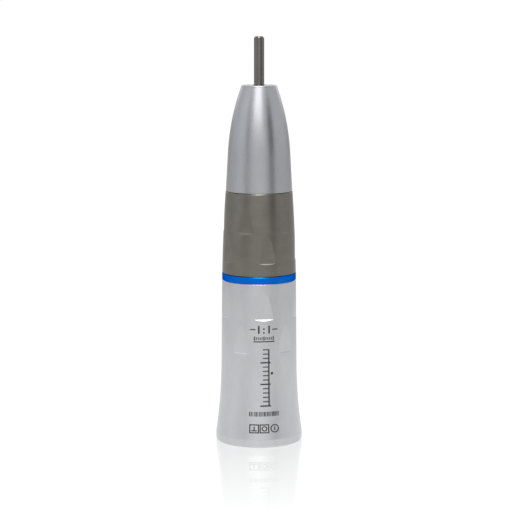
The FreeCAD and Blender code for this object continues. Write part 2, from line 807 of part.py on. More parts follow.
def make_spindle_tube(doc):
    body = turned(
        doc,
        "spindle_tube",
        [
            ("plan.spring_cavity", "plan.z_plug + dims.fit_gap"),
            ("dims.spindle_radius", "plan.z_plug + dims.fit_gap"),
            ("dims.spindle_radius", "plan.z_shoulder"),
            ("plan.journal_radius", "plan.z_shoulder"),
            ("plan.journal_radius", "plan.z_spindle"),
            ("plan.head_hole", "plan.z_spindle"),
            ("plan.head_hole", "plan.z_collet"),
            ("plan.collet_hole", "plan.z_head"),
            ("plan.collet_hole", "plan.z_spring_seat"),
            ("plan.spring_cavity", "plan.z_spring_seat"),
        ],
    )
    sketch = new_sketch(body, "cross_pin_slots", "XZ_Plane")
    draw_slot(
        sketch,
        "plan.z_cross_pin - dims.run_gap",
        "plan.z_cross_pin + dims.collet_travel + dims.run_gap",
        "dims.cross_pin_radius + dims.run_gap",
    )
    cut_through(body, sketch)
    return body


def make_drive_shaft(doc):
    body = turned(
        doc,
        "drive_shaft",
        [
            (AXIS, "plan.z_shaft_end"),
            ("dims.shaft_radius - dims.shaft_chamfer", "plan.z_shaft_end"),
            ("dims.shaft_radius", "plan.z_shaft_end + dims.shaft_chamfer"),
            ("dims.shaft_radius", "plan.z_shaft_step"),
            ("plan.journal_radius", "plan.z_shaft_step"),
            ("plan.journal_radius", "plan.z_bearing_rear"),
            ("dims.spindle_radius", "plan.z_bearing_rear"),
            ("dims.spindle_radius", "plan.z_plug"),
            ("plan.plug_radius", "plan.z_plug"),
            ("plan.plug_radius", "plan.z_plug_end"),
            (AXIS, "plan.z_plug_end"),
        ],
    )
    sketch = new_sketch(body, "dog_pin_slot", "YZ_Plane")
    draw_slot(
        sketch,
        "plan.z_dog_pin - dims.run_gap",
        "plan.z_dog_pin + dims.dog_travel + dims.run_gap",
        "dims.dog_pin_radius + dims.run_gap",
    )
    cut_through(body, sketch)
    return body


def make_collet(doc):
    body = turned(
        doc,
        "collet",
        [
            ("plan.collet_bore", "plan.z_tail"),
            ("plan.collet_radius", "plan.z_tail"),
            ("plan.collet_radius", "plan.z_head"),
            ("plan.head_radius", "plan.z_collet"),
            ("plan.collet_bore + dims.edge_break", "plan.z_collet"),
            ("plan.collet_bore", "plan.z_collet - dims.edge_break"),
        ],
    )
    sketch = new_sketch(body, "collet_slit")
    front = "plan.z_collet + dims.edge_break"
    root = "plan.z_collet - dims.collet_slit_length"
    beyond = "plan.head_radius + dims.edge_break"
    draw_outline(sketch, [(AXIS, root), (beyond, root), (beyond, front), (AXIS, front)])
    repeat_round(body, cut_through(body, sketch, "dims.collet_slit"), "dims.collet_jaws")
    return body


def make_draw_nut(doc):
    body = turned(
        doc,
        "draw_nut",
        [
            (AXIS, "plan.z_draw_nut"),
            ("plan.draw_nut_radius", "plan.z_draw_nut"),
            ("plan.draw_nut_radius", "plan.z_nut_front"),
            ("plan.collet_radius + dims.fit_gap", "plan.z_nut_front"),
            ("plan.collet_radius + dims.fit_gap", "plan.z_tail - dims.fit_gap"),
            ("dims.shank_seat_radius", "plan.z_tail - dims.fit_gap"),
            ("dims.shank_seat_radius", "plan.z_floor"),
            (AXIS, "plan.z_floor"),
        ],
    )
    hole = "dims.cross_pin_radius + dims.fit_gap"
    cut_across(body, "draw_nut_hole", "plan.z_cross_pin", hole, "XZ_Plane")
    return body


def make_thrust_collar(doc):
    body = plain_ring(
        doc,
        "thrust_collar",
        "plan.collar_bore",
        "plan.collar_radius",
        "plan.z_collar",
        "plan.z_collar + 2 * dims.collar_half_width",
    )
    hole = "dims.cross_pin_radius + dims.fit_gap"
    cut_across(body, "thrust_collar_hole", "plan.z_cross_pin", hole, "XZ_Plane")
    return body


def make_push_sleeve(doc):
    body = plain_ring(
        doc,
        "push_sleeve",
        "plan.push_sleeve_bore",
        "plan.push_sleeve_radius",
        "plan.z_push_back",
        "plan.z_push_front",
    )
    hole = "dims.cam_pin_radius + dims.fit_gap"
    cut_across(body, "push_sleeve_hole", "plan.z_cam_pin", hole, "YZ_Plane")
    return body


def make_cam_sleeve(doc):
    """The sleeve in the locking ring. Its helical slots climb against the turn of the ring."""
    body = plain_ring(
        doc,
        "cam_sleeve",
        "plan.cam_sleeve_bore",
        "plan.cam_sleeve_radius",
        "plan.z_ring + dims.ring_end_gap",
        "plan.z_nose - dims.ring_end_gap",
    )
    sketch = new_sketch(body, "cam_slot", turn="dims.cam_slot_overrun")
    inner = "plan.cam_sleeve_bore - dims.edge_break"
    outer = "plan.cam_sleeve_radius + dims.edge_break"
    low, high = "plan.cam_start - plan.cam_half", "plan.cam_start + plan.cam_half"
    draw_outline(sketch, [(inner, low), (outer, low), (outer, high), (inner, high)])
    slot = body.newObject("PartDesign::SubtractiveHelix", "cam_slot_cut")
    slot.Profile = sketch
    slot.ReferenceAxis = (sketch, ["V_Axis"])
    slot.Mode = "pitch-turns-angle"
    slot.LeftHanded = True
    slot.setExpression("Pitch", "plan.cam_pitch")
    slot.setExpression("Turns", "plan.cam_sweep / 360")
    repeat_round(body, slot, "dims.cam_pin_count")
    return body


def cross_cylinder(doc, name, radius, start, end, height, direction):
    """A cylinder across the axis along direction, from start to end of it."""
    pin = doc.addObject("Part::Cylinder", name)
    pin.Label = name
    pin.Placement = FreeCAD.Placement(Vector(), FreeCAD.Rotation(Vector(0, 0, 1), direction))
    pin.setExpression("Radius", radius)
    pin.setExpression("Height", f"{end} - ({start})")
    pin.setExpression("Placement.Base.x", f"({start}) * {direction.x}")
    pin.setExpression("Placement.Base.y", f"({start}) * {direction.y}")
    pin.setExpression("Placement.Base.z", height)
    return pin


def make_pins(doc):
    cam_pins = []
    for side in (1, -1):
        name = "cam_pin_right" if side > 0 else "cam_pin_left"
        cam_pins.append(
            cross_cylinder(
                doc,
                name,
                "dims.cam_pin_radius",
                "plan.push_sleeve_bore + dims.edge_break",
                "plan.cam_sleeve_radius - dims.edge_break",
                "plan.z_cam_pin",
                Vector(side, 0, 0),
            )
        )
    pair = doc.addObject("Part::Compound", "cam_pins")
    pair.Label = "cam_pins"
    pair.Links = cam_pins
    reach = "plan.collar_radius - dims.edge_break"
    cross = cross_cylinder(
        doc,
        "cross_pin",
        "dims.cross_pin_radius",
        f"-({reach})",
        reach,
        "plan.z_cross_pin",
        Vector(0, 1, 0),
    )
    reach = "dims.dog_radius - dims.edge_break"
    dog = cross_cylinder(
        doc,
        "dog_pin",
        "dims.dog_pin_radius",
        f"-({reach})",
        reach,
        "plan.z_dog_pin",
        Vector(1, 0, 0),
    )
    return [pair, cross, dog]


def make_spring(doc, label, coil, wire, bottom, top, turns):
    """An open coil spring whose end coils lie against bottom and top."""
    body = new_body(doc, label)
    sketch = new_sketch(body, f"{label}_wire")
    draw_circle(sketch, coil, f"{bottom} + {wire} + dims.fit_gap", wire)
    spring = body.newObject("PartDesign::AdditiveHelix", f"{label}_coils")
    spring.Profile = sketch
    spring.ReferenceAxis = (sketch, ["V_Axis"])
    spring.Mode = "height-turns-angle"
    spring.setExpression("Height", f"{top} - {bottom} - 2 * ({wire} + dims.fit_gap)")
    spring.setExpression("Turns", turns)
    return body


def make_springs(doc):
    chuck = make_spring(
        doc,
        "chuck_spring",
        "plan.chuck_coil_radius",
        "dims.chuck_wire",
        "plan.z_nut_front",
        "plan.z_spring_seat",
        "dims.chuck_turns",
    )
    dog = make_spring(
        doc,
        "dog_spring",
        "plan.dog_coil_radius",
        "dims.dog_wire",
        "plan.z_dog_front",
        "plan.z_shaft_step",
        "dims.dog_turns",
    )
    return [chuck, dog]


def make_test_pin(doc):
    """The plain shank that the chuck holds."""
    top = "(plan.z_shank + dims.shank_length)"
    narrow = "dims.shank_radius - dims.edge_break"
    return turned(
        doc,
        "test_pin",
        [
            (AXIS, "plan.z_shank"),
            (narrow, "plan.z_shank"),
            ("dims.shank_radius", "plan.z_shank + dims.edge_break"),
            ("dims.shank_radius", f"{top} - dims.shank_chamfer"),
            ("dims.shank_radius - dims.shank_chamfer", top),
            (AXIS, top),
        ],
    )


# ---------------------------------------------------------------- drive end


def make_drive_dog(doc):
    """The sprung driver: a cup on the shaft with a flat tongue at its rear."""
    rear = "dims.dog_setback"
    body = turned(
        doc,
        "drive_dog",
        [
            (AXIS, rear),
            ("dims.dog_radius - dims.shaft_chamfer", rear),
            ("dims.dog_radius", f"{rear} + dims.shaft_chamfer"),
            ("dims.dog_radius", "plan.z_dog_front"),
            ("plan.dog_bore", "plan.z_dog_front"),
            ("plan.dog_bore", "plan.z_dog_floor"),
            (AXIS, "plan.z_dog_floor"),
        ],
    )
    sketch = new_sketch(body, "tongue_side")
    side = "dims.dog_tongue_thickness / 2"
    beyond = "dims.dog_radius * 1.5"
    shoulder = f"{rear} + dims.dog_tongue_length"
    below = f"{rear} - dims.edge_break"
    draw_outline(sketch, [(side, below), (beyond, below), (beyond, shoulder), (side, shoulder)])
    repeat_round(body, cut_through(body, sketch), "2")
    hole = "dims.dog_pin_radius + dims.fit_gap"
    hole_cut = cut_across(body, "drive_dog_hole", "plan.z_dog_pin", hole, "YZ_Plane")
    body.Tip = hole_cut
    return body


def make_coupling_sleeve(doc):
    """The socket that the motor's spigot enters, with its latch groove and spanner holes."""
    rear = "dims.coupling_inset"
    flange_front = f"{rear} + dims.coupling_flange_width"
    body = turned(
        doc,
        "coupling_sleeve",
        [
            ("dims.coupling_radius + dims.coupling_chamfer", rear),
            ("dims.coupling_flange - dims.edge_break", rear),
            ("dims.coupling_flange", f"{rear} + dims.edge_break"),
            ("dims.coupling_flange", flange_front),
            ("plan.sheath_bore - dims.run_gap", flange_front),
            ("plan.sheath_bore - dims.run_gap", "plan.z_housing - dims.fit_gap"),
            ("plan.coupling_tail", "plan.z_housing - dims.fit_gap"),
            ("plan.coupling_tail", "plan.z_tail_end"),
            ("dims.coupling_throat", "plan.z_tail_end"),
            ("dims.coupling_throat", "dims.coupling_depth"),
            ("dims.coupling_radius", "dims.coupling_depth"),
            ("dims.coupling_radius", "plan.groove_top"),
            ("plan.groove_radius", "plan.groove_top"),
            ("plan.groove_radius", "dims.latch_groove_place"),
            ("dims.coupling_radius", "dims.latch_groove_place"),
            ("dims.coupling_radius", f"{rear} + dims.coupling_chamfer"),
        ],
    )
    sketch = new_sketch(body, "spanner_hole")
    depth = f"{rear} + dims.spanner_hole_depth"
    middle = "dims.spanner_hole_circle"
    edge = f"{middle} + dims.spanner_hole_radius"
    draw_outline(sketch, [(middle, rear), (edge, rear), (edge, depth), (middle, depth)])
    hole = body.newObject("PartDesign::Groove", "spanner_hole_cut")
    hole.Profile = sketch
    hole.ReferenceAxis = (sketch, ["Edge4"])
    hole.Angle = 360
    repeat_round(body, hole, "dims.spanner_hole_count")
    return body


# ---------------------------------------------------------------- the whole handpiece


def make_all(doc):
    made = [
        make_nose_cone(doc),
        make_locking_ring(doc),
        make_colour_ring(doc),
        make_rear_sheath(doc),
        make_spindle_housing(doc),
        make_coupling_sleeve(doc),
        *make_seals(doc),
        *make_bearing_fittings(doc),
        make_spindle_tube(doc),
        make_drive_shaft(doc),
        make_collet(doc),
        make_draw_nut(doc),
        make_thrust_collar(doc),
        make_push_sleeve(doc),
        make_cam_sleeve(doc),
        *make_pins(doc),
        *make_springs(doc),
        make_drive_dog(doc),
        make_test_pin(doc),
    ]
    tops = {
        "front_bearing": "plan.z_bearing_front",
        "middle_bearing": "plan.z_bearing_middle",
        "rear_bearing": "plan.z_bearing_rear",
    }
    for name, top in tops.items():
        made += make_bearing(doc, name, top)
    return made


def check(doc, made):
    """Stops the build if any object failed or any sub-part is empty, open or not valid."""
    for item in doc.Objects:
        if "Invalid" in item.State or "Error" in item.State:
            raise RuntimeError(f"{item.Label} did not compute: {item.State}")
    for item in made:
        shape = item.Shape
        if shape.isNull() or not shape.isValid() or not shape.Solids:
            raise RuntimeError(f"{item.Label} has no valid solid")


def main():
    doc = FreeCAD.newDocument("handpiece")
    put_sheet(doc, "dims", DIMS)
    put_sheet(doc, "plan", PLAN)
    made = make_all(doc)
    doc.recompute()
    check(doc, made)
    os.makedirs("parts", exist_ok=True)
    for item in made:
        item.Shape.exportStep(os.path.join("parts", f"{item.Label}.step"))
        print(f"{item.Label}: {len(item.Shape.Solids)} solids, {item.Shape.Volume:.3f} mm3")


main()
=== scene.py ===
"""Finishes, marks and studio for a straight dental handpiece.

The handpiece stands on its rear rim at the origin, its nose is towards +Z and the front of its
grip is towards -Y. Sizes in the panel are in metres unless they say otherwise.
"""

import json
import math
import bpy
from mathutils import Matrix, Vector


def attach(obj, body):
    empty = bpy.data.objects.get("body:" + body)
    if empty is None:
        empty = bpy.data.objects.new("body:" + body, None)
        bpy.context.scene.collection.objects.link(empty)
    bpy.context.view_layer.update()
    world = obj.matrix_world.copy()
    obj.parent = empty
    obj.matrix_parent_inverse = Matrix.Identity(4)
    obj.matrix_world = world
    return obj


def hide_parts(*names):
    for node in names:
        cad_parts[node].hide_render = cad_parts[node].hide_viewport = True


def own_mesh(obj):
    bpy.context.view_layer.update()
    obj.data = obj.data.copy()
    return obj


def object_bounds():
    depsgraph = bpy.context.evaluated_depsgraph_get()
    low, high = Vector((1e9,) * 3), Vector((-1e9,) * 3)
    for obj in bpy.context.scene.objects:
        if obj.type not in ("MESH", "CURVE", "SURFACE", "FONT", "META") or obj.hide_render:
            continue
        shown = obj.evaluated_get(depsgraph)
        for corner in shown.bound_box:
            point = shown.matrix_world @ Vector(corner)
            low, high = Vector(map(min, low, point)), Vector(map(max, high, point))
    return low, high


bl_info = {
    "name": "Straight Handpiece",
    "version": (1, 0, 0),
    "blender": (4, 5, 0),
    "location": "View3D > Sidebar > Handpiece",
    "description": "Metal finishes, laser marks and a studio for a straight dental handpiece",
    "category": "Object",
}

import bmesh
import bpy
from bpy.props import FloatProperty, FloatVectorProperty, IntProperty, PointerProperty
from mathutils import Vector
from mathutils.bvhtree import BVHTree

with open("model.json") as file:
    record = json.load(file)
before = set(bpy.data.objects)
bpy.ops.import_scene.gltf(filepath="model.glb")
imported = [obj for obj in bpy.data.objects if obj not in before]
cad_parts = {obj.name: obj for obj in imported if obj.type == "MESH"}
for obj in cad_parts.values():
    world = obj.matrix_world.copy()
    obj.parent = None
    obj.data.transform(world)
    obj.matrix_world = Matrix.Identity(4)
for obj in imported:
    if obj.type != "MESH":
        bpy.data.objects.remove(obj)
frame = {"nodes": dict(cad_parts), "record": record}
CAD_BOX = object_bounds()

MM = 0.001
GRIP_RADIUS = 8.7 * MM  # of the sheath where the marks lie, for turning widths into angles


# ---------------------------------------------------------------- sizes and colours


def colour(name, description, value):
    return FloatVectorProperty(
        name=name, description=description, subtype="COLOR", size=3, min=0, max=1, default=value
    )


def share(name, description, value):
    return FloatProperty(
        name=name, description=description, subtype="FACTOR", min=0, max=1, default=value
    )


def length(name, description, value):
    return FloatProperty(
        name=name, description=description, subtype="DISTANCE", unit="LENGTH", default=value, precision=5
    )


def angle(name, description, degrees):
    return FloatProperty(
        name=name, description=description, subtype="ANGLE", unit="ROTATION", default=math.radians(degrees)
    )


class CasingSettings(bpy.types.PropertyGroup):
    """Colours and polish of the casing's metals."""

    nose: colour("Nose", "Satin steel of the nose cone", (0.5, 0.506, 0.528))
    nose_roughness: share("Nose roughness", "How matt the nose cone is", 0.3)
    twist_ring: colour("Locking ring", "Warm titanium grey of the ring", (0.24, 0.224, 0.198))
    twist_ring_roughness: share("Ring roughness", "How matt the locking ring is", 0.3)
    sheath: colour("Sheath", "Light matt silver of the rear sheath", (0.615, 0.623, 0.64))
    sheath_roughness: share("Sheath roughness", "How matt the rear sheath is", 0.38)
    band: colour("Band", "Anodised blue of the ratio band", (0.004, 0.17, 0.78))
    shank: colour("Shank", "Ground steel of the shank in the chuck", (0.235, 0.222, 0.208))
    shank_roughness: share("Shank roughness", "How matt the shank is", 0.17)


class WorksSettings(bpy.types.PropertyGroup):
    """Colours of the pieces inside the casing."""

    turned: colour("Turned steel", "Spindle, housing, nuts and spacers", (0.52, 0.52, 0.53))
    polished: colour("Polished steel", "Collet, pins and drive dog", (0.6, 0.6, 0.61))
    bronze: colour("Bronze", "Thrust collar and push sleeve", (0.66, 0.45, 0.22))
    spring: colour("Spring steel", "Coil springs and disc spring", (0.4, 0.4, 0.41))
    races: colour("Races", "Ground steel of the bearing races", (0.64, 0.64, 0.65))
    balls: colour("Balls", "Polished steel of the bearing balls", (0.7, 0.7, 0.71))
    rubber: colour("Rubber", "Dark rubber of the seals", (0.012, 0.012, 0.013))
    bloom: colour("Rubber bloom", "Faint lighter bloom on the rubber", (0.028, 0.028, 0.03))
    resin: colour("Resin", "Resin of the ball cages", (0.3, 0.16, 0.06))
    threads: colour("Threads", "Cotton threads in the resin", (0.44, 0.27, 0.12))


class MarkSettings(bpy.types.PropertyGroup):
    """Places and sizes of the laser marks on the sheath."""

    column: angle("Column", "Place of the column of marks, from the front towards the right", 7.4)
    ratio_foot: length("Ratio foot", "Height of the foot of the ratio", 0.02640)
    ratio_height: length("Ratio height", "Height of the ratio's figures", 0.00175)
    tick_foot: length("Tick row foot", "Height of the foot of the row of ticks", 0.02475)
    rule_foot: length("Rule foot", "Height of the foot of the millimetre rule", 0.0096)
    rule_marks: IntProperty(name="Rule marks", description="Number of millimetre marks", default=14, min=2)
    code_foot: length("Code foot", "Height of the foot of the bar code", 0.00725)
    code_bars: IntProperty(name="Code bars", description="Number of bars in the code", default=19, min=3)
    sign_middle: length("Signs", "Height of the middle of the row of signs", 0.0044)
    sign_size: length("Sign size", "Side of a square sign", 0.00205)
    line: length("Line", "Width of a fine line", 0.00026)
    depth: length("Depth", "How far the mark stands proud of the metal", 0.000006)
    ink: colour("Mark", "Dark oxide colour of the laser mark", (0.05, 0.043, 0.038))


class StudioSettings(bpy.types.PropertyGroup):
    """Camera, floor and lights."""

    camera_distance: length("Camera distance", "From the handpiece's axis", 0.415)
    camera_height: length("Camera height", "Above the floor", 0.1037)
    camera_side: length("Camera side", "To the right of the axis", -0.0007)
    camera_tilt: angle("Camera tilt", "Angle below the horizon", 8.33)
    lens: FloatProperty(name="Lens", description="Focal length in millimetres", default=127.83)
    surround: FloatProperty(name="Surround", description="Strength of the even light all round", default=0.68)
    backdrop: FloatProperty(
        name="Backdrop", description="Brightness of the surround where it is seen", default=1.06
    )
    overhead: FloatProperty(name="Overhead", description="Strength of the soft overhead light", default=1.2)
    overhead_spread: angle("Overhead spread", "How wide the overhead light looks from below", 22)
    overhead_tilt: angle("Overhead tilt", "How far the overhead light leans to the front", 12)
    floor: colour("Floor", "Pale floor", (0.14, 0.14, 0.14))
    floor_glow: FloatProperty(
        name="Floor glow", description="Light that comes through the floor", default=0.86
    )
    floor_dim: share("Floor dimming", "How much darker the far floor is in the metal's reflections", 0.47)
    floor_mirror: share("Floor mirror", "How much the floor mirrors beside the handpiece", 0.4)
    mirror_reach: length("Mirror reach", "Where the floor's mirror has faded, from the axis", 0.07)


# ---------------------------------------------------------------- materials


class Nodes:
    """A material's node tree, with short calls to add what the finishes share."""

    def __init__(self, name):
        self.material = bpy.data.materials.new(name)
        self.material.use_nodes = True
        self.tree = self.material.node_tree
        self.shader = self.tree.nodes["Principled BSDF"]
        self.place = self.add("ShaderNodeTexCoord").outputs["Object"]

    def add(self, kind, **settings):
        node = self.tree.nodes.new(kind)
        for name, value in settings.items():
            if name in node.inputs:
                node.inputs[name].default_value = value
            else:
                setattr(node, name, value)
        return node

    def link(self, source, target):
        self.tree.links.new(source, target)

    def set(self, **values):
        for name, value in values.items():
            self.shader.inputs[name.replace("_", " ")].default_value = value

    def noise(self, per_mm, detail=3.0, rough=0.5, offset=(0, 0, 0)):
        """Noise whose features are about 1/per_mm millimetres; per_mm may differ along X, Y and Z."""
        mapping = self.add("ShaderNodeMapping")
        mapping.inputs["Scale"].default_value = [p / MM for p in per_mm]
        mapping.inputs["Location"].default_value = offset
        self.link(self.place, mapping.inputs["Vector"])
        noise = self.add("ShaderNodeTexNoise")
        noise.inputs["Scale"].default_value = 1.0
        noise.inputs["Detail"].default_value = detail
        noise.inputs["Roughness"].default_value = rough
        self.link(mapping.outputs["Vector"], noise.inputs["Vector"])
        return noise.outputs["Fac"]

    def remap(self, value, low, high, start=0.3, end=0.7):
        node = self.add("ShaderNodeMapRange")
        for name, number in zip(("From Min", "From Max", "To Min", "To Max"), (start, end, low, high)):
            node.inputs[name].default_value = number
        self.link(value, node.inputs["Value"])
        return node.outputs["Result"]

    def mix(self, factor, first, second):
        """A colour between first and second, each a colour or another node's output."""
        node = self.add("ShaderNodeMix", data_type="RGBA")
        self.link(factor, node.inputs[0])
        for socket, source in ((node.inputs[6], first), (node.inputs[7], second)):
            if isinstance(source, bpy.types.NodeSocket):
                self.link(source, socket)
            else:
                socket.default_value = (*source, 1)
        return node.outputs[2]

    def bump(self, height, distance, before=None):
        node = self.add("ShaderNodeBump")
        node.inputs["Strength"].default_value = 1.0
        node.inputs["Distance"].default_value = distance
        self.link(height, node.inputs["Height"])
        if before is not None:
            self.link(before, node.inputs["Normal"])
        return node.outputs["Normal"]


def tinted(base, factor):
    return tuple(min(1.0, c * factor) for c in base)


def blasted_metal(name, base, roughness, grain=0.0009):
    """Bead-blasted satin metal: a fine even grain, with faint cloudy differences of tone."""
    n = Nodes(name)
    n.set(Metallic=1.0)
    cloud = n.remap(n.noise((0.25, 0.25, 0.12), detail=6, rough=0.7), 0.0, 1.0)
    n.link(n.mix(cloud, tinted(base, 0.95), tinted(base, 1.05)), n.shader.inputs["Base Color"])
    fine = n.noise((4, 4, 4), detail=4, rough=0.75)
    n.link(n.remap(fine, roughness - 0.04, roughness + 0.05), n.shader.inputs["Roughness"])
    n.link(n.bump(fine, grain * MM), n.shader.inputs["Normal"])
    return n.material


def turned_metal(name, base, roughness, line=0.0005, lines_per_mm=14, spread=0.06):
    """Metal with fine lines round it from the lathe or the grinding wheel. line is their depth in
    millimetres, and spread is how far the roughness differs between them."""
    n = Nodes(name)
    n.set(Metallic=1.0)
    cloud = n.remap(n.noise((0.3, 0.3, 0.5), detail=3), 0.0, 1.0)
    n.link(n.mix(cloud, tinted(base, 0.93), tinted(base, 1.05)), n.shader.inputs["Base Color"])
    lines = n.noise((0.15, 0.15, lines_per_mm), detail=3, rough=0.6)
    n.link(n.remap(lines, roughness - spread, roughness + spread), n.shader.inputs["Roughness"])
    n.link(n.bump(lines, line * MM), n.shader.inputs["Normal"])
    return n.material


def give(names, material):
    """Puts one material on the named CAD nodes."""
    for name in names:
        mesh = frame["nodes"][name].data
        mesh.materials.clear()
        mesh.materials.append(material)


# ---------------------------------------------------------------- casing


class HANDPIECE_OT_casing(bpy.types.Operator):
    """Finish the nose cone, locking ring and rear sheath"""

    bl_idname = "handpiece.casing"
    bl_label = "Casing Finishes"

    def execute(self, context):
        s = context.scene.handpiece_casing
        give(["nose_cone"], blasted_metal("nose satin steel", s.nose, s.nose_roughness))
        ring = turned_metal(
            "ring titanium grey", s.twist_ring, s.twist_ring_roughness, line=0.00004, spread=0.02
        )
        give(["locking_ring"], ring)
        give(["rear_sheath"], blasted_metal("sheath matt silver", s.sheath, s.sheath_roughness))
        return {"FINISHED"}


class HANDPIECE_OT_band(bpy.types.Operator):
    """Finish the ratio band as blue anodised metal"""

    bl_idname = "handpiece.band"
    bl_label = "Ratio Band"

    def execute(self, context):
        base = context.scene.handpiece_casing.band
        n = Nodes("band blue anodised")
        n.set(Metallic=1.0)
        n.shader.inputs["Specular Tint"].default_value = (0.2, 0.38, 0.8, 1)
        tone = n.remap(n.noise((0.6, 0.6, 0.6), detail=2), 0.0, 1.0)
        n.link(n.mix(tone, tinted(base, 0.93), tinted(base, 1.05)), n.shader.inputs["Base Color"])
        lines = n.noise((0.15, 0.15, 12), detail=2)
        n.link(n.remap(lines, 0.26, 0.34), n.shader.inputs["Roughness"])
        n.link(n.bump(lines, 0.00015 * MM), n.shader.inputs["Normal"])
        give(["colour_ring"], n.material)
        return {"FINISHED"}


class HANDPIECE_OT_shank(bpy.types.Operator):
    """Finish the ground shank in the chuck"""

    bl_idname = "handpiece.shank"
    bl_label = "Shank"

    def execute(self, context):
        s = context.scene.handpiece_casing
        steel = turned_metal("shank ground steel", s.shank, s.shank_roughness, line=0.00004, lines_per_mm=9)
        give(["test_pin"], steel)
        return {"FINISHED"}


# ---------------------------------------------------------------- pieces inside


class HANDPIECE_OT_works(bpy.types.Operator):
    """Finish the spindle, chuck, bearings and seals inside the casing"""

    bl_idname = "handpiece.works"
    bl_label = "Inner Works"

    machined = (
        "spindle_housing", "coupling_sleeve", "bearing_outer_spacer", "bearing_inner_spacer",
        "front_bearing_nut", "rear_bearing_nut", "spindle_nut", "spindle_tube", "drive_shaft",
        "draw_nut", "cam_sleeve",
    )
    polished = ("collet", "cam_pins", "cross_pin", "dog_pin", "drive_dog")
    bronze = ("thrust_collar", "push_sleeve")
    seals = ("sheath_o_ring", "ring_seal_rear", "ring_seal_front", "nose_o_ring", "front_seal")
    bearings = ("front_bearing", "middle_bearing", "rear_bearing")

    def rubber(self, s):
        """Dark rubber with a faint bloom."""
        n = Nodes("seal rubber")
        n.set(Roughness=0.6, Specular_IOR_Level=0.4)
        bloom = n.remap(n.noise((1.2, 1.2, 1.2), detail=5), 0.0, 1.0)
        n.link(n.mix(bloom, s.rubber, s.bloom), n.shader.inputs["Base Color"])
        n.link(n.bump(n.noise((12, 12, 12)), 0.002 * MM), n.shader.inputs["Normal"])
        return n.material

    def resin(self, s):
        """Cotton-filled resin, its threads lighter than the resin round them."""
        n = Nodes("cage resin")
        n.set(Roughness=0.55)
        threads = n.remap(n.noise((6, 6, 2), detail=2), 0.0, 1.0, 0.4, 0.6)
        n.link(n.mix(threads, s.resin, s.threads), n.shader.inputs["Base Color"])
        n.link(n.bump(threads, 0.003 * MM), n.shader.inputs["Normal"])
        return n.material

    def execute(self, context):
        s = context.scene.handpiece_works
        give(self.machined, turned_metal("turned steel", s.turned, 0.3, line=0.0008))
        give(self.polished, turned_metal("polished steel", s.polished, 0.16, line=0.0002))
        give(self.bronze, turned_metal("bearing bronze", s.bronze, 0.3, line=0.0008))
        give(["preload_disc_spring"], turned_metal("spring steel", s.spring, 0.28))
        give(self.seals, self.rubber(s))
        races = turned_metal("ground bearing steel", s.races, 0.12, line=0.0001)
        balls = blasted_metal("bearing balls", s.balls, 0.06, grain=0.00005)
        give([f"{b}_{race}_race" for b in self.bearings for race in ("outer", "inner")], races)
        give([f"{b}_balls" for b in self.bearings], balls)
        give([f"{b}_cage" for b in self.bearings], self.resin(s))
        return {"FINISHED"}


class HANDPIECE_OT_springs(bpy.types.Operator):
    """Fit the coil springs as still, smooth copies carried by the spindle; the real springs shorten as the
    chuck opens and as the driver slides in
    """

    bl_idname = "handpiece.springs"
    bl_label = "Coil Springs"

    def coil(self, node, joint, fixed_end, travel, wire):
        """A smooth copy of the spring, carried by the spindle in place of its CAD node; fixed_end and travel
        are not used.
        """
        work = bmesh.new()
        work.from_mesh(frame["nodes"][node].data)
        bmesh.ops.remove_doubles(work, verts=work.verts, dist=0.0001 * MM)
        for face in work.faces:
            face.smooth = True
        mesh = bpy.data.meshes.new(f"{node}_coil")
        work.to_mesh(mesh)
        work.free()
        mesh.materials.clear()
        mesh.materials.append(wire)
        coil = bpy.data.objects.new(f"{node}_coil", mesh)
        bpy.context.scene.collection.objects.link(coil)
        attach(coil, "spindle")
        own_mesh(coil)
        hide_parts(node)

    def execute(self, context):
        wire = blasted_metal("spring wire", context.scene.handpiece_works.spring, 0.28)
        for joint in frame["record"]["behaviour"]["joints"]:
            for spring in joint.get("deforming_nodes", ()):
                give([spring["node"]], wire)
                travel = max(joint["range_m"])
                self.coil(spring["node"], joint["name"], spring["fixed_end_z_m"], travel, wire)
        return {"FINISHED"}


# ---------------------------------------------------------------- laser marks


